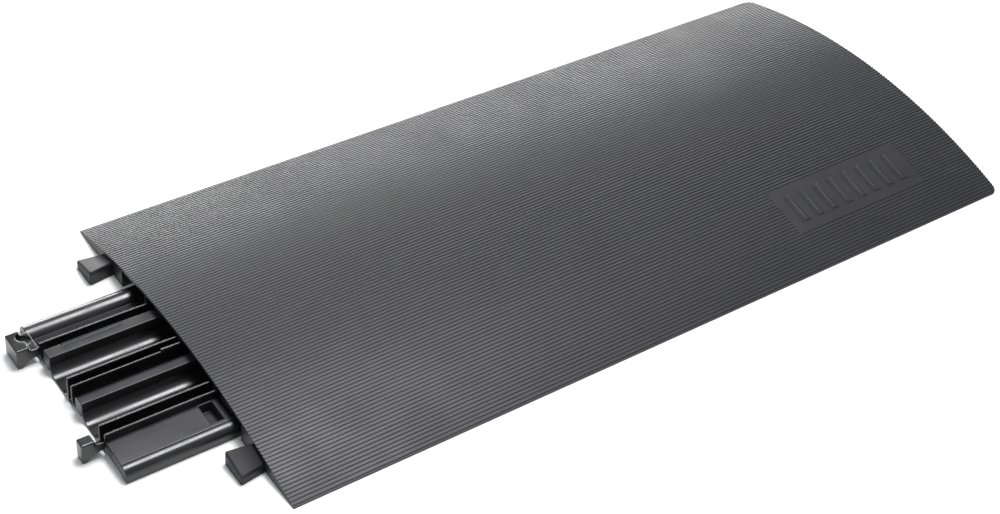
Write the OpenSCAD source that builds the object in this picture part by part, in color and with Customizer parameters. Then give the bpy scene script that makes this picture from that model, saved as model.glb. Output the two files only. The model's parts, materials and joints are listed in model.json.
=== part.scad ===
// Cable protector ramp: an arched, ribbed cover over a four-channel cable tray.
// X runs along the cables, Y across the ramp, Z up from the floor.
// The origin is on the floor under the middle of the cover.

/* [Cover] */
// Length of the cover along the cables
cover_l = 870; // [700:10:1050]
// Width of the cover across both ramps
cover_w = 410; // [370:5:500]
// Height of the crown above the floor
crown_h = 34; // [33:1:42]
// Height of the blunt edge where a ramp meets the floor
nose_t = 1.4; // [1:0.1:2.4]
// Thickness of the arched skin below the tread ribs
skin_t = 2.6; // [2:0.1:3.4]
// Radius of the two corners at the plain end
corner_r = 9; // [4:1:20]
// Thickness of the walls and webs under the skin
web_t = 2.6; // [2:0.2:4]
// Distance between the cross webs in the wings
web_pitch = 96; // [60:4:140]
// Clearance between the tray and the walls of the wings
wall_gap = 4.5; // [3:0.5:6]

/* [Tread ribs] */
// Distance from one rib to the next
rib_pitch = 3.8; // [3.2:0.1:6]
// Height of a rib above its root
rib_h = 0.7; // [0.4:0.1:1]
// Width of a rib at its crest
rib_crest = 1.3; // [0.8:0.1:1.6]
// Width of a rib at its foot
rib_foot = 2.2; // [1.8:0.1:2.6]

/* [Blank badge pad] */
// Length of the pad along the cables
badge_l = 180; // [80:2:220]
// Width of the pad across the ramp
badge_w = 58; // [30:2:70]
// Distance from the plain end to the pad's middle
badge_from_end = 162; // [130:2:260]
// Distance from the crown to the pad's middle
badge_y = 133; // [80:1:150]
// Number of plain raised bars on the pad
badge_bars = 8; // [3:1:15]

/* [Cover lugs] */
// Length of a locating lug along the cables
lug_l = 10; // [6:1:16]
// Width of a locating lug across the ramp
lug_w = 20; // [12:1:24]
// Thickness of a lug's walls
lug_t = 2.2; // [1.6:0.2:3]
// How far a lug reaches below the near rail's top
lug_drop = 8; // [4:1:12]
// Distance from the plain end to its lug
lug_from_end = 7.5; // [4:0.5:20]
// Clearance round a lug in its notch
lug_gap = 1.5; // [0.6:0.1:3]

/* [Cover connectors] */
// Distance from the crown line to the middle of a dovetail tab
tab_y = 145; // [138:1:150]
// Length of a dovetail tab
tab_l = 25; // [16:1:32]
// Width of a tab at its free end
tab_tip_w = 30; // [24:1:34]
// Width of a tab at its root
tab_root_w = 23; // [18:1:28]
// Depth of a tab's top below the tread crests
tab_drop = 5; // [4.5:0.5:7]
// Clearance all round a tab in its socket
tab_gap = 0.6; // [0.3:0.1:1]

/* [Tray] */
// How far the tray sticks out past the cover
tray_stagger = 107; // [60:1:160]
// Distance from the middle line to the near edge of the tray
tray_half_w = 109.5; // [107:0.5:112]
// Wall thickness of the tray moulding
tray_t = 2.2; // [1.6:0.2:3]
// Distance between two keyways
keyway_pitch = 65.4; // [63:0.2:67]
// Width of a keyway's slot
keyway_slot = 6; // [5:0.2:7]
// Clearance between the keyways' tops and the arched skin
keyway_head_gap = 2.6; // [1:0.2:5]
// Height of the far keyway's inner wall
far_key_inner_h = 22.3; // [20:0.1:24]
// Height of the far keyway's low outer wall
far_key_outer_h = 10; // [8:0.5:14]
// Extra width of the near keyway's slot
near_key_extra = 2.8; // [0:0.2:3.4]
// How far the middle keyway's near wall is lowered at the tray's end
key_step_drop = 2.4; // [0:0.1:4]
// Distance from that step to the cover's end
key_step_from_end = 20; // [8:1:40]
// Thickness of the cover's keels that drop into the keyways
keel_t = 3.2; // [2.4:0.2:4]
// Distance from a keyway to the flat part of the land beside it
land_offset = 12; // [10:0.5:14]
// Height of the narrow floors beside the keyways
floor_z = 3.2; // [3:0.1:6]
// Width of the flat part of a land
land_w = 7.6; // [6:0.2:10]
// Radius that turns the near land down towards the middle keyway
land_round = 6; // [2:0.5:7]
// Extra width of the far land
far_land_extra = 4.6; // [0:0.2:5]
// Width and height of the low catch rib on the far land
catch_rib = 1.4; // [1:0.1:2]
// Height of the flat lands
land_h = 21; // [18:0.5:24]
// Radius at the bottom of the large troughs
trough_r = 11; // [6:1:14]

/* [Tray edges] */
// Radius of the half-round far rail
far_rail_r = 11.5; // [9:0.5:13]
// Clearance from the far rail to the cover's wing wall
far_rail_gap = 7.5; // [2:0.5:10]
// Width of the D-shaped near rail
near_rail_w = 9; // [8.5:0.5:12]
// Height of the near rail
near_rail_h = 14.3; // [12:0.1:18]
// Radius of the near rail's outer shoulder
near_rail_r = 8.5; // [5:0.5:8.5]
// Height of the sloping edge land where it leaves the keyway
edge_land_h = 15.4; // [14:0.2:18]
// Width and depth of the groove along the near rail
seam_groove = 0.8; // [0.4:0.1:1.2]
// Height of the underside of the wells that take the lugs
lug_well_z = 2; // [1:0.5:3]

/* [Tray connectors] */
// How far a hook reaches past the tray's end
hook_reach = 22; // [18:1:28]
// Height of the hooks
hook_h = 22; // [18:0.5:24]
// Length of a hook's foot on the floor
hook_foot = 5.5; // [4:0.5:8]
// Height of the arch under a hook's neck
hook_arch_h = 7.5; // [5:0.5:10]
// Width of the wide hook at the far side
far_hook_w = 26; // [20:1:26]
// Width of the narrow hook at the near side
near_hook_w = 11.4; // [9:0.2:12]
// Height of the necks between a hook's head and the tray
neck_h = 17; // [14:0.5:18]
// Length of the hooks' heads
head_l = 13; // [8:1:14]
// Radius of the round well in the wide hook
hook_well_r = 6.2; // [4:0.2:7]
// Clearance round a hook in its pocket
hook_gap = 0.8; // [0.4:0.1:1.2]

/* [Hidden] */
$fn = 96;
// arch of the cover: crest, rib root and cavity share one centre
rise = crown_h - nose_t;
arc_r = (pow(cover_w / 2, 2) + rise * rise) / (2 * rise);
arc_z = crown_h - arc_r;
root_r = arc_r - rib_h;
cavity_r = root_r - skin_t;
deg_per_mm = 180 / (PI * arc_r);
rib_side_n = floor((asin(cover_w / 2 / arc_r) / deg_per_mm - rib_foot) / rib_pitch);
cavity_half = acos(-arc_z / cavity_r);
// ends of the cover and of the tray
left_x = -cover_l / 2;
right_x = cover_l / 2;
tray_x0 = left_x - tray_stagger;
tray_x1 = tray_x0 + cover_l;
// across the cover
wall_y = tray_half_w + wall_gap;
wing_in_y = wall_y + web_t;
wing_foot_gap = 1.6;
wing_out_y = cavity_r * sin(cavity_half) - wing_foot_gap;
// across the tray
keyway_w = keyway_slot + 2 * tray_t;
far_key_y = keyway_pitch - keyway_w / 2;
near_key_y = near_key_extra - keyway_pitch + keyway_w / 2;
far_rail_y = wall_y - far_rail_gap - far_rail_r;
near_rail_y = near_rail_w - tray_half_w;
edge_land_y = -keyway_pitch - keyway_w / 2;
keel_foot_gap = 3;
keel_z = tray_t + keel_foot_gap;
keel_notch_gap = 2;
keyway_round = min(floor_z, keyway_slot / 2);
key_middle_h = arch_under(keyway_w / 2) - keyway_head_gap;
key_near_inner_h = arch_under(near_key_y) - keyway_head_gap;
key_near_outer_h = arch_under(edge_land_y) - keyway_head_gap;
key_step_x = left_x - key_step_from_end;
catch_rib_from_end = 17;
catch_rib_from_step = 10;
catch_rib_x0 = tray_x0 + catch_rib_from_end;
catch_rib_x1 = key_step_x - catch_rib_from_step;
land_corner = 1;
// lugs and notches: one at each end of the cover, a module apart
notch_inset = 1.5;
lug_y = edge_land_y - lug_gap - lug_w / 2 - notch_inset;
lug_left_inset = 2;
lug_left_x = left_x + lug_left_inset;
lug_right_x = right_x - lug_from_end - lug_l;
// connectors
pocket_x0 = tray_x1 - hook_reach - hook_gap;
far_hook_y = far_key_y;
near_hook_lap = 0.5;
near_hook_y = edge_land_y - near_hook_lap;
well_x = tray_x0 - hook_well_r - tray_t;
well_wall = 3;
well_y = far_hook_y + far_hook_w - hook_well_r - well_wall;
arch_half = hook_reach - hook_foot;
arch_r = (arch_half * arch_half + hook_arch_h * hook_arch_h) / (2 * hook_arch_h);
socket_x0 = right_x - tab_l - tab_gap;
// gap round the badge pad, and the share of the pad that its bars fill
badge_gap = 0.15;
bar_share = 0.6;
// overshoot of a cut, and a height above everything
over = 1;
tall = 2 * crown_h;

cover_colour = "#3c3c3f";
tab_colour = "#48484b";
tray_colour = "#161618";
land_colour = "#2a2a2c";

// ---- shared shapes ----

// runs a Y-Z profile along X
module along_x(x0, x1) {
    translate([x0, 0, 0]) rotate([90, 0, 90]) linear_extrude(x1 - x0) children();
}

// a box from one corner to the other
module block(lo, hi) {
    translate(lo) cube(hi - lo);
}

// disc about the arch's centre, fine enough for its large radius
module arch_disc(r) {
    translate([0, arc_z]) circle(r, $fn = 720);
}

// the space under the skin between two distances from the crown line
module under_arch(y0, y1, z0 = 0) {
    intersection() {
        arch_disc(cavity_r);
        translate([y0, z0]) square([y1 - y0, crown_h]);
    }
}

// height of the cavity's arch at a distance from the crown line
function arch_under(y) = arc_z + sqrt(cavity_r * cavity_r - y * y);

function on_arc(r, angle) = [r * sin(angle), arc_z + r * cos(angle)];

// one tread rib, foot to foot, centred at an angle round the arch
function rib_points(angle) = [
    on_arc(root_r, angle - rib_foot / 2 * deg_per_mm),
    on_arc(arc_r, angle - rib_crest / 2 * deg_per_mm),
    on_arc(arc_r, angle + rib_crest / 2 * deg_per_mm),
    on_arc(root_r, angle + rib_foot / 2 * deg_per_mm)
];

// ---- cover ----

// the skin's cross-section: ribs above, the cavity's arch below
module skin_profile() {
    polygon(concat(
        [[-cover_w / 2, 0], [-cover_w / 2, nose_t]],
        [for (i = [-rib_side_n:rib_side_n]) each rib_points(i * rib_pitch * deg_per_mm)],
        [[cover_w / 2, nose_t], [cover_w / 2, 0]],
        [for (i = [rib_side_n:-1:-rib_side_n]) on_arc(cavity_r, cavity_half * i / rib_side_n)]
    ));
}

// what a rounded corner takes off the plain end, at +Y
module corner_waste() {
    difference() {
        block(
            [right_x - corner_r, cover_w / 2 - corner_r, -over],
            [right_x + over, cover_w / 2 + over, crown_h]
        );
        translate([right_x - corner_r, cover_w / 2 - corner_r, -2 * over]) cylinder(r = corner_r, h = tall);
    }
}

// the badge's outline seen from above, grown or shrunk all round
module badge_outline(grow, top) {
    middle_x = right_x - badge_from_end;
    block(
        [middle_x - badge_l / 2 - grow, -badge_y - badge_w / 2 - grow, 0],
        [middle_x + badge_l / 2 + grow, -badge_y + badge_w / 2 + grow, top]
    );
}

module cover_skin() {
    color(cover_colour) difference() {
        along_x(left_x, right_x) skin_profile();
        difference() {
            badge_outline(0, crown_h + over);
            along_x(left_x, right_x) arch_disc(root_r);
        }
        corner_waste();
        mirror([0, 1, 0]) corner_waste();
    }
}

module badge_pad() {
    bar_pitch = badge_l / (badge_bars + 1);
    bar_l = bar_pitch * bar_share;
    bar_x0 = right_x - badge_from_end - badge_l / 2 - bar_l / 2;
    bar_w = badge_w * bar_share;
    color(cover_colour) union() {
        intersection() {
            badge_outline(-badge_gap, crown_h);
            along_x(left_x, right_x) difference() {
                arch_disc(root_r + rib_h / 2);
                arch_disc(root_r);
            }
        }
        intersection() {
            union() for (i = [1:badge_bars])
                block(
                    [bar_x0 + i * bar_pitch, -badge_y - bar_w / 2, 0],
                    [bar_x0 + i * bar_pitch + bar_l, -badge_y + bar_w / 2, crown_h]
                );
            along_x(left_x, right_x) difference() {
                arch_disc(arc_r);
                arch_disc(root_r);
            }
        }
    }
}

// the long wall between the tray bay and a wing, at +Y
module wing_wall() {
    color(cover_colour) along_x(left_x, right_x) under_arch(wall_y, wing_in_y);
}

// cross webs that carry the wing, at +Y
module wing_webs() {
    run = socket_x0 - 2 * web_t - left_x;
    count = floor(run / web_pitch);
    color(cover_colour) for (i = [1:count])
        along_x(left_x + i * run / (count + 1), left_x + i * run / (count + 1) + web_t)
            under_arch(wing_in_y, wing_out_y);
}

// closes the end of a wing on the tab side, at +Y
module end_plate() {
    color(cover_colour) along_x(left_x, left_x + web_t) under_arch(wing_in_y, wing_out_y);
}

// a dovetail seen from above with its root at x = 0, pointing to -X
module dovetail(grow) {
    polygon([
        [over, tab_root_w / 2 + grow], [0, tab_root_w / 2 + grow],
        [-tab_l - grow, tab_tip_w / 2 + grow], [-tab_l - grow, -tab_tip_w / 2 - grow],
        [0, -tab_root_w / 2 - grow], [over, -tab_root_w / 2 - grow]
    ]);
}

// dovetail tab on the end plate, its top parallel to the ramp, at +Y
module tab() {
    color(tab_colour) intersection() {
        translate([left_x, tab_y, 0]) linear_extrude(crown_h) dovetail(0);
        along_x(left_x - tab_l, left_x) intersection() {
            arch_disc(arc_r - tab_drop);
            square([cover_w / 2, crown_h]);
        }
    }
}

// pocket at the plain end that drops over the next cover's tab, at +Y
module socket() {
    half = tab_tip_w / 2 + tab_gap + web_t;
    color(cover_colour) difference() {
        along_x(socket_x0 - web_t, right_x) under_arch(tab_y - half, tab_y + half);
        translate([right_x, tab_y, -over]) linear_extrude(tall) dovetail(tab_gap);
    }
}

// long web under the skin that drops into a keyway of the tray
module keel(y) {
    color(cover_colour) along_x(left_x, right_x) under_arch(y - keel_t / 2, y + keel_t / 2, keel_z);
}

// keel with a notch over the pocket for the next tray's hook
module notched_keel(y) {
    difference() {
        keel(y);
        block(
            [pocket_x0 - keel_notch_gap, y - keel_t, 0],
            [tray_x1 + keel_notch_gap, y + keel_t, hook_h + keel_notch_gap]
        );
    }
}

// locating lug that drops through a notch in the tray's edge land; x is its left face
module lug(x) {
    y0 = lug_y - lug_w / 2;
    color(cover_colour) difference() {
        along_x(x, x + lug_l) under_arch(y0, y0 + lug_w, near_rail_h - lug_drop);
        block([x + lug_t, y0 + lug_t, 0], [x + lug_l - lug_t, y0 + lug_w - lug_t, edge_land_h]);
    }
}

// ---- tray ----

// box that a hook and its clearance fill at the tray's plain end
module hook_pocket(y0, w) {
    block([pocket_x0, y0 - hook_gap, -over], [tray_x1 + over, y0 + w + hook_gap, tall]);
}

module far_pocket() {
    hook_pocket(far_hook_y, far_hook_w);
}

module near_pocket() {
    hook_pocket(near_hook_y, near_hook_w);
}

// half-round hollow rail along the far edge, closed at the tray's hook end
module rail_far() {
    color(tray_colour) difference() {
        along_x(tray_x0, tray_x1) difference() {
            rail_far_section();
            translate([far_rail_y, 0]) circle(far_rail_r - tray_t);
        }
        far_pocket();
    }
    color(tray_colour) along_x(tray_x0, tray_x0 + tray_t) rail_far_section();
}

module rail_far_section() {
    difference() {
        translate([far_rail_y, 0]) circle(far_rail_r);
        translate([0, -tall]) square([cover_w / 2, tall]);
    }
}

// narrow floor between the far rail and the far keyway
module channel_far() {
    y0 = keyway_pitch + keyway_w / 2;
    color(tray_colour) difference() {
        along_x(tray_x0, tray_x1) difference() {
            translate([y0, floor_z]) square([far_rail_y - y0, tray_t]);
            translate([far_rail_y, 0]) circle(far_rail_r);
        }
        far_pocket();
    }
}

// what a rounded bottom corner takes off, with its outer corner at the origin
module round_waste(r) {
    difference() {
        translate([-over, -over]) square([r + over, r + over]);
        translate([r, r]) circle(r);
    }
}

// U-shaped keyway, open upwards, with rounded outer corners below;
// it spans y0 to y1, and its near and far walls have their own heights
module keyway_profile(y0, y1, near_h, far_h) {
    difference() {
        translate([y0, 0]) square([y1 - y0, max(near_h, far_h)]);
        translate([y0 + tray_t, tray_t]) square([y1 - y0 - 2 * tray_t, tall]);
        translate([y0 - over, near_h]) square([tray_t + over, tall]);
        translate([y1 - tray_t, far_h]) square([tray_t + over, tall]);
        translate([y0, 0]) round_waste(keyway_round);
        translate([y1, 0]) mirror([1, 0]) round_waste(keyway_round);
    }
}

module keyway_far() {
    color(tray_colour) difference() {
        along_x(tray_x0, tray_x1)
            keyway_profile(far_key_y, far_key_y + keyway_w, far_key_inner_h, far_key_outer_h);
        far_pocket();
    }
}

// its near wall is lower outside the cover
module keyway_middle() {
    half = keyway_w / 2;
    color(tray_colour) union() {
        along_x(tray_x0, key_step_x) keyway_profile(-half, half, key_middle_h - key_step_drop, key_middle_h);
        along_x(key_step_x, tray_x1) keyway_profile(-half, half, key_middle_h, key_middle_h);
    }
}

module keyway_near() {
    color(tray_colour) difference() {
        along_x(tray_x0, tray_x1)
            keyway_profile(edge_land_y, near_key_y, key_near_outer_h, key_near_inner_h);
        near_pocket();
    }
}

// hollow ridge with an end wall and a land on top, w wide and turned down at its far edge by r;
// y is the near face of the keyway beyond it
module divider(y, w, r) {
    near_y = y - land_offset - land_w;
    color(land_colour) difference() {
        along_x(tray_x0, tray_x1) union() {
            translate([near_y + w - tray_t, floor_z]) square([y - near_y - w + tray_t, tray_t]);
            difference() {
                land_section(near_y, w, r);
                land_shape(near_y, near_y + w, r, tray_t);
            }
        }
        far_pocket();
    }
    color(land_colour) along_x(tray_x0, tray_x0 + tray_t) land_section(near_y, w, r);
}

// the ridge filled in, as its end wall has it, down to the floor beside it
module land_section(near_y, w, r) {
    difference() {
        land_shape(near_y, near_y + w, r, 0);
        translate([near_y, 0]) square([w, floor_z]);
        translate([near_y, 0]) square([tray_t, trough_r + tray_t]);
    }
}

// the ridge's outline drawn in from its outside by a wall
module land_shape(near_y, far_y, r, wall) {
    difference() {
        translate([near_y + wall, -wall]) square([far_y - near_y - 2 * wall, land_h]);
        if (r > wall) translate([far_y - wall, land_h - wall]) rotate(180) round_waste(r - wall);
    }
}

// low rib along the far land's edge near the tray's end
module catch_rib() {
    y1 = far_key_y - land_offset + far_land_extra - land_corner;
    color(land_colour) block([catch_rib_x0, y1 - catch_rib, land_h], [catch_rib_x1, y1, land_h + catch_rib]);
}

module divider_far() {
    divider(far_key_y, land_w + far_land_extra, land_corner);
    catch_rib();
}

module divider_near() {
    divider(-keyway_w / 2, land_w + land_round, land_round);
}

// inside or outside of a trough, by its radius; open above
module trough_shape(near_y, far_y, r) {
    middle_z = trough_r + tray_t;
    translate([near_y + trough_r, middle_z]) circle(r);
    translate([far_y - trough_r, middle_z]) circle(r);
    translate([near_y + trough_r, middle_z - r]) square([far_y - near_y - 2 * trough_r, r + over]);
    translate([near_y + trough_r - r, middle_z]) square([far_y - near_y - 2 * trough_r + 2 * r, crown_h]);
}

// wide round-cornered trough from a keyway's far face to a land's near edge
module trough(near_y, far_y) {
    color(tray_colour) along_x(tray_x0, tray_x1) difference() {
        trough_shape(near_y, far_y, trough_r + tray_t);
        trough_shape(near_y, far_y, trough_r);
        translate([near_y - tray_t - over, -over]) square([tray_t + over, tall]);
        translate([near_y - over, trough_r + tray_t]) square([far_y - near_y + tray_t + 2 * over, tall]);
    }
}

// wide sloping land between the near keyway and the near rail, with a well for each lug and an end wall
module edge_land() {
    color(land_colour) difference() {
        union() {
            along_x(tray_x0, tray_x1) edge_land_profile(tray_t);
            along_x(tray_x0, tray_x0 + tray_t) edge_land_profile(near_rail_h - tray_t);
            lug_well(lug_left_x);
            lug_well(lug_right_x - cover_l);
        }
        lug_notch(lug_left_x);
        lug_notch(lug_right_x - cover_l);
        near_pocket();
    }
}

// the land's section down to a depth, with the groove beside the near rail
module edge_land_profile(depth) {
    difference() {
        polygon([
            [edge_land_y, edge_land_h], [near_rail_y, near_rail_h],
            [near_rail_y, near_rail_h - depth], [edge_land_y, edge_land_h - depth]
        ]);
        translate([near_rail_y, near_rail_h - seam_groove]) square([seam_groove, crown_h]);
    }
}

// walls and floor of the well under a notch; x is the lug's left face
module lug_well(x) {
    intersection() {
        block(
            [x - lug_gap - tray_t, lug_y - lug_w / 2 - lug_gap - tray_t, lug_well_z],
            [x + lug_l + lug_gap + tray_t, edge_land_y, edge_land_h]
        );
        along_x(tray_x0, tray_x1) edge_land_profile(near_rail_h - lug_well_z);
    }
}

// opening that a locating lug drops into; x is the lug's left face
module lug_notch(x) {
    block(
        [x - lug_gap, lug_y - lug_w / 2 - lug_gap, lug_well_z + tray_t],
        [x + lug_l + lug_gap, lug_y + lug_w / 2 + lug_gap, tall]
    );
}

// D-shaped hollow rail along the near edge, closed at the tray's hook end
module rail_near() {
    color(tray_colour) along_x(tray_x0, tray_x1) translate([-tray_half_w, 0]) difference() {
        rail_near_shape(0);
        rail_near_shape(tray_t);
    }
    color(tray_colour) along_x(tray_x0, tray_x0 + tray_t) translate([-tray_half_w, 0]) rail_near_shape(0);
}

// the D shape, drawn in from its outside by a wall
module rail_near_shape(wall) {
    r = near_rail_r - wall;
    difference() {
        translate([wall, wall]) square([near_rail_w - 2 * wall, near_rail_h - 2 * wall]);
        translate([wall, near_rail_h - wall]) mirror([0, 1]) round_waste(r);
    }
}

// ---- tray connectors ----

// the arch under a hook's neck, lying along Y
module neck_arch(x, y0, y1, r) {
    translate([x, y0, hook_arch_h - arch_r]) rotate([-90, 0, 0]) cylinder(r = r, h = y1 - y0);
}

// lowers a hook's neck between its head and the tray
module neck_step(y0, w) {
    block([tray_x0 - hook_reach + head_l, y0 - over, neck_h], [tray_x0 + over, y0 + w + over, tall]);
}

// wide hook with a round well through it
module hook_far() {
    color(tray_colour) difference() {
        block([tray_x0 - hook_reach, far_hook_y, 0], [tray_x0, far_hook_y + far_hook_w, hook_h]);
        neck_arch(tray_x0, far_hook_y - over, far_hook_y + far_hook_w + over, arch_r);
        neck_step(far_hook_y, far_hook_w);
        translate([well_x, well_y, -over]) cylinder(r = hook_well_r, h = tall);
    }
}

// narrow hook with its neck hollowed out above the arch
module hook_near() {
    color(tray_colour) difference() {
        block([tray_x0 - hook_reach, near_hook_y, 0], [tray_x0, near_hook_y + near_hook_w, hook_h]);
        neck_arch(tray_x0, near_hook_y - over, near_hook_y + near_hook_w + over, arch_r);
        neck_step(near_hook_y, near_hook_w);
        block(
            [tray_x0 - hook_reach + head_l, near_hook_y + tray_t, hook_arch_h + tray_t],
            [tray_x0 + over, near_hook_y + near_hook_w + over, tall]
        );
    }
}

// round-backed sill that the next tray's hook sits over
module sill(y0, w) {
    color(tray_colour) intersection() {
        block(
            [pocket_x0 + hook_foot + 2 * hook_gap, y0 - hook_gap, 0],
            [tray_x1, y0 + w + hook_gap, crown_h]
        );
        neck_arch(tray_x1, y0 - hook_gap, y0 + w + hook_gap, arch_r - hook_gap);
    }
}

module at_near() {
    mirror([0, 1, 0]) children();
}

cover_skin();
badge_pad();
wing_wall();  // wing_wall_far
at_near() wing_wall();  // wing_wall_near
wing_webs();  // wing_webs_far
at_near() wing_webs();  // wing_webs_near
end_plate();  // end_plate_far
at_near() end_plate();  // end_plate_near
socket();  // socket_far
at_near() socket();  // socket_near
notched_keel(keyway_pitch);  // keel_far
keel(0);  // keel_middle
notched_keel(-keyway_pitch);  // keel_near
lug(lug_left_x);  // lug_left
lug(lug_right_x);  // lug_right
tab();  // tab_far
at_near() tab();  // tab_near
rail_far();
channel_far();
keyway_far();
divider_far();
trough(keyway_w / 2, far_key_y - land_offset - land_w);  // trough_far
keyway_middle();
divider_near();
trough(near_key_y, -keyway_w / 2 - land_offset - land_w);  // trough_near
keyway_near();
edge_land();
rail_near();
hook_far();
hook_near();
sill(far_hook_y, far_hook_w);  // sill_far
sill(near_hook_y, near_hook_w);  // sill_near
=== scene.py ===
import json
import math

import bmesh
import bpy
from mathutils import Matrix, Vector
from mathutils.bvhtree import BVHTree


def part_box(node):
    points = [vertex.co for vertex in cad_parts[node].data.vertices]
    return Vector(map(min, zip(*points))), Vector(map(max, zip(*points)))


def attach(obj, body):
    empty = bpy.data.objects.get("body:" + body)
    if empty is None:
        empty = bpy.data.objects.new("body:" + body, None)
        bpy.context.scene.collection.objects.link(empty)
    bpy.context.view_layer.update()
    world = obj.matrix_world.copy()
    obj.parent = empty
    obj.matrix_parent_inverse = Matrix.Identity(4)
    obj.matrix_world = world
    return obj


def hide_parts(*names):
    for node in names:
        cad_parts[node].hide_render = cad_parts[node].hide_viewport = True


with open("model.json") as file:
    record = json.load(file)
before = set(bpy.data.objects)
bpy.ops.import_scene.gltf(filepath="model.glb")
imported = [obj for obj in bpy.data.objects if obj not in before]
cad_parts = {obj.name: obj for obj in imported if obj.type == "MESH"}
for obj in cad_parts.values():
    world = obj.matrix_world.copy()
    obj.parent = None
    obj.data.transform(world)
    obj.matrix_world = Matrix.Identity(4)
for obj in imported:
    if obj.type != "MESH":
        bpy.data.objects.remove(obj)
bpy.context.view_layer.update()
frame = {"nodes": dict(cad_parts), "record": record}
MM = 0.001


# ---- Camera ----
# A long lens on a tall stand, held a little off level, looking down on the ramp
# from beyond its tray end. The lens and its place set the whole view.

bpy.ops.object.camera_add(location=(-0.967, -1.078, 1.193))
camera = bpy.context.object
swing = Matrix.Rotation(math.radians(-39.66), 4, "Z")
tilt = Matrix.Rotation(math.radians(90 - 41.155), 4, "X")
roll = Matrix.Rotation(math.radians(6.85), 4, "Z")
camera.rotation_euler = (swing @ tilt @ roll).to_euler()
camera.data.lens = 65.9
bpy.context.scene.camera = camera


# ---- Studio ----
# A plain pale floor, a big soft box low behind the ramp's far left, a dim one
# overhead and a small one at the tray end, in a softly lit room.

def linear(hex_colour):
    """An sRGB hex colour as linear red, green, blue and alpha."""
    parts = [int(hex_colour[i:i + 2], 16) / 255 for i in (1, 3, 5)]
    return [c / 12.92 if c <= 0.04045 else ((c + 0.055) / 1.055) ** 2.4 for c in parts] + [1]


def add_node(material, kind, inputs=None, settings=None):
    """A shader node with its settings; an input is a plain value or another node's output."""
    node = material.node_tree.nodes.new(kind)
    for name, value in (settings or {}).items():
        setattr(node, name, value)
    for name, value in (inputs or {}).items():
        if isinstance(value, bpy.types.NodeSocket):
            material.node_tree.links.new(value, node.inputs[name])
        else:
            node.inputs[name].default_value = value
    return node


def new_material(name):
    """An empty node material."""
    material = bpy.data.materials.new(name)
    material.use_nodes = True
    material.node_tree.nodes.clear()
    return material


def surface(material, inputs):
    """Ends a material with its surface shader and output."""
    shader = add_node(material, "ShaderNodeBsdfPrincipled", inputs)
    add_node(material, "ShaderNodeOutputMaterial", {"Surface": shader.outputs["BSDF"]})


floor_paper = new_material("floor_paper")
surface(floor_paper, {"Base Color": linear("#f4f4f3"), "Roughness": 0.8})
bpy.ops.mesh.primitive_plane_add(size=14)
floor = bpy.context.object
floor.name = "studio_floor"
floor.data.materials.append(floor_paper)

for name, place, aim, size, power, colour in (
    ("back_box", (1.3, 3.2, 0.7), (0.1, 0, 0), (3.6, 1.2), 172, "#ffffff"),
    ("top_box", (0.3, 0.2, 2.6), (-0.2, 0, 0), (1.3, 0.9), 74, "#fdfdff"),
    ("tray_end_box", (-2.3, -0.3, 1.3), (-0.45, 0, 0), (1.0, 1.0), 6, "#ffffff"),
):
    bpy.ops.object.light_add(type="AREA", location=place)
    light = bpy.context.object
    light.name = name
    light.data.shape = "RECTANGLE"
    light.data.size, light.data.size_y = size
    light.data.energy = power
    light.data.color = linear(colour)[:3]
    light.rotation_euler = (Vector(aim) - Vector(place)).to_track_quat("-Z", "Y").to_euler()

world = bpy.data.worlds.new("studio_room")
world.use_nodes = True
world.node_tree.nodes["Background"].inputs["Color"].default_value = linear("#f6f8fb")
world.node_tree.nodes["Background"].inputs["Strength"].default_value = 0.45
bpy.context.scene.world = world
bpy.context.scene.view_settings.view_transform = "Standard"


# ---- Tray: one glossy moulding ----
# The tray is a single injection moulding in black polypropylene, about 2.2 mm thick:
# rails, keyways, floors, lands and troughs. Its polished tool leaves it glossy, and
# every free edge comes out of the tool with a small radius.

# the surface of every CAD piece, to find where two pieces of one moulding meet
surfaces = {
    name: BVHTree.FromPolygons([v.co for v in node.data.vertices], [p.vertices for p in node.data.polygons])
    for name, node in frame["nodes"].items()
}


def touches_neighbour(node, point):
    """True where another node of the same moulding meets this point."""
    reach = 0.06 * MM
    return any(
        surfaces[other].find_nearest(point, reach)[0] is not None
        for body in frame["record"]["behaviour"]["bodies"].values() if node in body
        for other in body if other != node
    )


def softened(node, name, radius, steps=3, whole_faces=True):
    """A copy of a CAD node with its free sharp edges rounded; edges on a neighbour stay sharp."""
    weld = 0.002 * MM
    flat_angle = math.radians(0.15)
    sharp_angle = math.radians(28)
    piece = bpy.data.objects.new(name, frame["nodes"][node].data.copy())
    bpy.context.collection.objects.link(piece)
    bpy.ops.object.select_all(action="DESELECT")
    piece.select_set(True)
    bpy.context.view_layer.objects.active = piece
    bpy.ops.object.mode_set(mode="EDIT")
    bpy.ops.mesh.select_mode(type="EDGE")
    bpy.ops.mesh.select_all(action="SELECT")
    bpy.ops.mesh.remove_doubles(threshold=weld)
    if whole_faces:
        bpy.ops.mesh.dissolve_limited(angle_limit=flat_angle)
    bpy.ops.mesh.select_all(action="DESELECT")
    mesh = bmesh.from_edit_mesh(piece.data)
    for edge in mesh.edges:
        middle = (edge.verts[0].co + edge.verts[1].co) / 2
        sharp = len(edge.link_faces) == 2 and edge.calc_face_angle() > sharp_angle
        if sharp and not touches_neighbour(node, middle):
            edge.select_set(True)
    bmesh.update_edit_mesh(piece.data)
    bpy.ops.mesh.bevel(offset=radius, segments=steps, clamp_overlap=False)
    bpy.ops.object.mode_set(mode="OBJECT")
    bpy.ops.object.shade_smooth_by_angle(angle=math.radians(32))
    bpy.ops.object.modifier_add(type="WEIGHTED_NORMAL")
    piece.modifiers[0].keep_sharp = True
    piece.modifiers[0].weight = 90
    bpy.ops.object.modifier_apply(modifier=piece.modifiers[0].name)
    return piece


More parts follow.
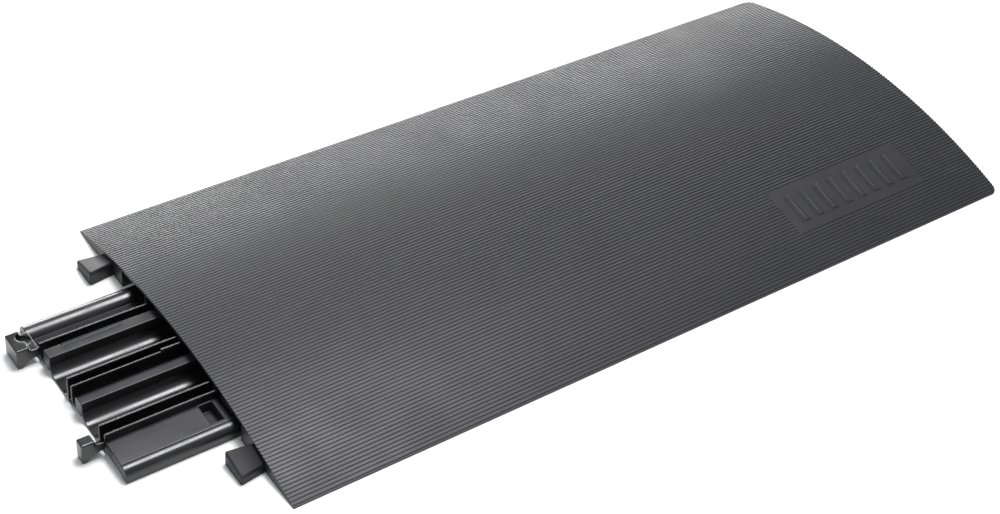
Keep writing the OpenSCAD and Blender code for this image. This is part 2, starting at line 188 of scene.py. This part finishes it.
def finish_piece(piece, material, slot, body, *nodes):
    """Gives a piece its material, its body and the CAD nodes it stands for."""
    piece.data.materials.clear()
    piece.data.materials.append(material)
    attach(piece, body)
    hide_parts(*nodes)


def gloss_moulding(name, base, worn, roughness):
    """Polypropylene off a polished tool: dark and glossy, with faint flow lines along the
    cables, fine handling scratches and cloudy patches where it has been touched."""
    material = new_material(name)
    place = add_node(material, "ShaderNodeTexCoord").outputs["Object"]
    # flow lines drawn out along the cables, 6 mm apart and 80 mm long
    drawn = add_node(material, "ShaderNodeMapping", {"Vector": place, "Scale": (12, 160, 160)})
    flow = add_node(material, "ShaderNodeTexNoise", {
        "Vector": drawn.outputs["Vector"], "Scale": 1, "Detail": 4, "Roughness": 0.55})
    # fine handling scratches 0.6 mm apart
    thin = add_node(material, "ShaderNodeMapping", {"Vector": place, "Scale": (40, 1600, 1600)})
    scratch = add_node(material, "ShaderNodeTexNoise", {
        "Vector": thin.outputs["Vector"], "Scale": 1, "Detail": 2})
    scratched = add_node(material, "ShaderNodeMapRange", {
        "Value": scratch.outputs["Fac"], "From Min": 0.6, "From Max": 0.8, "To Max": 0.14})
    # cloudy patches about 25 mm across
    cloud = add_node(material, "ShaderNodeTexNoise", {
        "Vector": place, "Scale": 40, "Detail": 5, "Roughness": 0.6})
    touched = add_node(material, "ShaderNodeMapRange", {
        "Value": cloud.outputs["Fac"], "From Min": 0.35, "From Max": 0.7,
        "To Min": roughness - 0.05, "To Max": roughness + 0.07})
    rough = add_node(material, "ShaderNodeMath", {
        0: touched.outputs["Result"], 1: scratched.outputs["Result"]}, {"operation": "ADD"})
    tint = add_node(material, "ShaderNodeMix", {
        "Factor": cloud.outputs["Fac"], 6: linear(base), 7: linear(worn)}, {"data_type": "RGBA"})
    flow_bump = add_node(material, "ShaderNodeBump", {
        "Height": flow.outputs["Fac"], "Strength": 0.3, "Distance": 0.3 * MM})
    bump = add_node(material, "ShaderNodeBump", {
        "Height": scratch.outputs["Fac"], "Strength": 0.15, "Distance": 0.05 * MM,
        "Normal": flow_bump.outputs["Normal"]})
    surface(material, {
        "Base Color": tint.outputs[2], "Roughness": rough.outputs[0], "IOR": 1.62,
        "Normal": bump.outputs["Normal"]})
    return material


gloss_black = gloss_moulding("polypropylene_gloss_black", "#0c0c0d", "#171719", 0.3)
# the lands: a rougher, textured copy of the gloss black; its lighter colour is painted light, standing in
# for the grey the flat tops show under the overhead light
land_black_painted_light = gloss_moulding("polypropylene_land_painted_light", "#151517", "#202022", 0.4)

for node, radius in (
    ("rail_far", 0.7), ("channel_far", 0.5), ("keyway_far", 0.8), ("trough_far", 0.6),
    ("keyway_middle", 0.8), ("trough_near", 0.6), ("keyway_near", 0.8), ("rail_near", 0.7),
    ("sill_far", 0.8), ("sill_near", 0.8),
):
    piece = softened(node, node + "_moulding", radius * MM)
    finish_piece(piece, gloss_black, "tray_plastic", "tray", node)

# the flat tops, in a rougher copy of the black whose lighter colour is painted light for the grey the tops
# catch; the edge land keeps every face because of its wells
for node in ("divider_far", "divider_near", "edge_land"):
    piece = softened(node, node + "_moulding", 0.9 * MM, whole_faces=node != "edge_land")
    finish_piece(piece, land_black_painted_light, "tray_plastic", "tray", node)


# ---- Hooks ----
# Two stubby moulded hooks at the tray's end, every corner well rounded: the wide one
# has a round finger well, and both have an arched neck that sits on a sill.

for node in ("hook_far", "hook_near"):
    hook = bpy.data.objects.new(node + "_moulding", frame["nodes"][node].data.copy())
    bpy.context.collection.objects.link(hook)
    bpy.ops.object.select_all(action="DESELECT")
    hook.select_set(True)
    bpy.context.view_layer.objects.active = hook
    bpy.ops.object.modifier_add(type="REMESH")
    hook.modifiers[0].mode = "VOXEL"
    hook.modifiers[0].voxel_size = 0.4 * MM
    bpy.ops.object.modifier_add(type="SMOOTH")
    hook.modifiers[1].factor = 0.5
    hook.modifiers[1].iterations = 80
    for modifier in [m.name for m in hook.modifiers]:
        bpy.ops.object.modifier_apply(modifier=modifier)
    bpy.ops.object.shade_smooth()
    finish_piece(hook, gloss_black, "tray_plastic", "tray", node)


# ---- Cover: one satin moulding ----
# The cover is a second moulding, in charcoal plastic with a satin tool finish. Its
# tread is fine lengthwise ribs, and walls, webs and keels stand under the skin.

def satin_moulding(name, base, worn, roughness, grain):
    """Charcoal plastic off a satin tool: an even sheen with a fine grain, soft cloudy
    tone, and thin pale scuffs along the ribs where feet and wheels have gone."""
    material = new_material(name)
    place = add_node(material, "ShaderNodeTexCoord").outputs["Object"]
    cloud = add_node(material, "ShaderNodeTexNoise", {
        "Vector": place, "Scale": 18, "Detail": 6, "Roughness": 0.62})
    # scuffs 3 mm apart and 60 mm long
    drawn = add_node(material, "ShaderNodeMapping", {"Vector": place, "Scale": (16, 330, 330)})
    scuff = add_node(material, "ShaderNodeTexNoise", {
        "Vector": drawn.outputs["Vector"], "Scale": 1, "Detail": 3})
    scuffed = add_node(material, "ShaderNodeMapRange", {
        "Value": scuff.outputs["Fac"], "From Min": 0.5, "From Max": 0.75})
    # tool grain, drawn at 0.9 mm so that it shows
    fine = add_node(material, "ShaderNodeTexNoise", {
        "Vector": place, "Scale": 1100, "Detail": 2})
    tone = add_node(material, "ShaderNodeMath", {
        0: cloud.outputs["Fac"], 1: scuffed.outputs["Result"]}, {"operation": "MULTIPLY"})
    tint = add_node(material, "ShaderNodeMix", {
        "Factor": tone.outputs[0], 6: linear(base), 7: linear(worn)}, {"data_type": "RGBA"})
    rough = add_node(material, "ShaderNodeMapRange", {
        "Value": cloud.outputs["Fac"], "From Min": 0.3, "From Max": 0.7,
        "To Min": roughness - 0.04, "To Max": roughness + 0.05})
    bump = add_node(material, "ShaderNodeBump", {
        "Height": fine.outputs["Fac"], "Strength": grain, "Distance": 0.15 * MM})
    surface(material, {
        "Base Color": tint.outputs[2], "Roughness": rough.outputs["Result"], "IOR": 1.5,
        "Normal": bump.outputs["Normal"]})
    return material


satin_charcoal = satin_moulding("polyolefin_satin_charcoal", "#1f1f21", "#2a2a2c", 0.42, 0.5)

cover_skin = softened("cover_skin", "cover_tread", 0.22 * MM, steps=2)
finish_piece(cover_skin, satin_charcoal, "cover_plastic", "cover", "cover_skin")

for node in (
    "wing_wall_far", "wing_wall_near", "wing_webs_far", "wing_webs_near", "end_plate_far", "end_plate_near",
    "socket_far", "socket_near", "keel_far", "keel_middle", "keel_near", "lug_left", "lug_right",
):
    piece = softened(node, node + "_moulding", 0.5 * MM)
    finish_piece(piece, satin_charcoal, "cover_plastic", "cover", node)


# ---- Badge pad ----
# A blank smooth pad let into the tread near the plain end, with eight plain raised
# bars that lean with the arch of the cover.

badge = bpy.data.objects.new("badge_pad_blank", frame["nodes"]["badge_pad"].data.copy())
bpy.context.collection.objects.link(badge)
pad_low, pad_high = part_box("badge_pad")
bar_count = 8
bar_pitch = (pad_high.x - pad_low.x) / (bar_count + 1)
bar_width = bar_pitch * 0.26
bar_length = (pad_high.y - pad_low.y) * 0.6
bar_height = 1.7 * MM
bar_sunk = 0.35 * MM
crown = 34 * MM
nose_thickness = 1.4 * MM
rise = crown - nose_thickness
half_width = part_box("cover_skin")[1].y
arch_radius = (half_width ** 2 + rise ** 2) / (2 * rise)
middle_y = (pad_low.y + pad_high.y) / 2
lean = math.asin(-middle_y / arch_radius)
arch_drop = arch_radius * (1 - math.cos(lean))
bars = []
for index in range(1, bar_count + 1):
    bpy.ops.object.select_all(action="DESELECT")
    bpy.ops.mesh.primitive_cube_add(size=1)
    bar = bpy.context.object
    bar.scale = (bar_width, bar_length, bar_height)
    bar.rotation_euler = (lean, 0, 0)
    bar.location = (pad_low.x + index * bar_pitch, middle_y, crown - arch_drop - bar_sunk)
    bpy.ops.object.transform_apply(location=True, rotation=True, scale=True)
    bpy.ops.object.modifier_add(type="BEVEL")
    bar.modifiers[0].width = 0.35 * MM
    bar.modifiers[0].segments = 3
    bpy.ops.object.modifier_apply(modifier=bar.modifiers[0].name)
    bars.append(bar)
for bar in bars:
    bar.select_set(True)
badge.select_set(True)
bpy.context.view_layer.objects.active = badge
bpy.ops.object.join()
bpy.ops.object.shade_smooth_by_angle(angle=math.radians(35))
finish_piece(badge, satin_charcoal, "badge_plastic", "cover", "badge_pad")


# ---- Dovetail tabs ----
# Two smooth solid tabs on the cover's left end, wider at the tip than at the root.
# They drop into the sockets of the next cover, so their corners are well rounded.

matte_charcoal = satin_moulding("polyolefin_matte_charcoal", "#1a1a1c", "#222224", 0.62, 0.3)
tab_root_share = 23 / 30
tab_radius = 2.2 * MM


def slide_vertices(piece, chosen, move=None, widen=None, centre=(0, 0, 0)):
    """In edit mode, moves or widens the vertices that chosen() accepts."""
    mesh = bmesh.from_edit_mesh(piece.data)
    for vertex in mesh.verts:
        vertex.select = chosen(vertex.co)
    mesh.select_flush(True)
    bmesh.update_edit_mesh(piece.data)
    if move:
        bpy.ops.transform.translate(value=move)
    if widen:
        bpy.ops.transform.resize(value=widen, center_override=centre)


def bevel_edges(piece, chosen, radius, steps):
    """In edit mode, rounds the edges whose two ends chosen() accepts."""
    bpy.ops.mesh.select_all(action="DESELECT")
    mesh = bmesh.from_edit_mesh(piece.data)
    for edge in mesh.edges:
        if chosen(*(v.co for v in edge.verts)):
            edge.select_set(True)
    bmesh.update_edit_mesh(piece.data)
    bpy.ops.mesh.bevel(offset=radius, segments=steps, clamp_overlap=False)


for node, side in (("tab_far", 1), ("tab_near", -1)):
    low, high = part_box(node)
    middle = (low + high) / 2
    outer_y = high.y if side > 0 else low.y
    outer_top = max(v.co.z for v in frame["nodes"][node].data.vertices if abs(v.co.y - outer_y) < 1 * MM)

    def free_edge(a, b):
        """True for the upright corners at the tip and the edges round the top, off the cover."""
        upright_at_tip = max(a.x, b.x) < middle.x and abs(a.z - b.z) > 5 * MM
        round_top = min(a.z, b.z) > outer_top - 1 * MM and min(a.x, b.x) < high.x - 1 * MM
        return upright_at_tip or round_top

    bpy.ops.object.select_all(action="DESELECT")
    bpy.ops.mesh.primitive_cube_add(size=1, location=middle)
    tab = bpy.context.object
    tab.name = node + "_dovetail"
    tab.scale = high - low
    bpy.ops.object.transform_apply(location=True, rotation=True, scale=True)
    bpy.ops.object.mode_set(mode="EDIT")
    bpy.ops.mesh.select_mode(type="VERT")
    slide_vertices(tab, lambda co: co.x > middle.x,
                   widen=(1, tab_root_share, 1), centre=(high.x, middle.y, 0))
    slide_vertices(tab, lambda co: co.z > middle.z and side * (co.y - middle.y) > 0,
                   move=(0, 0, outer_top - high.z))
    bpy.ops.mesh.select_mode(type="EDGE")
    bevel_edges(tab, free_edge, tab_radius, 6)
    bpy.ops.object.mode_set(mode="OBJECT")
    bpy.ops.object.shade_smooth_by_angle(angle=math.radians(35))
    bpy.ops.object.modifier_add(type="WEIGHTED_NORMAL")
    bpy.ops.object.modifier_apply(modifier=tab.modifiers[0].name)
    finish_piece(tab, matte_charcoal, "tab_plastic", "cover", node)
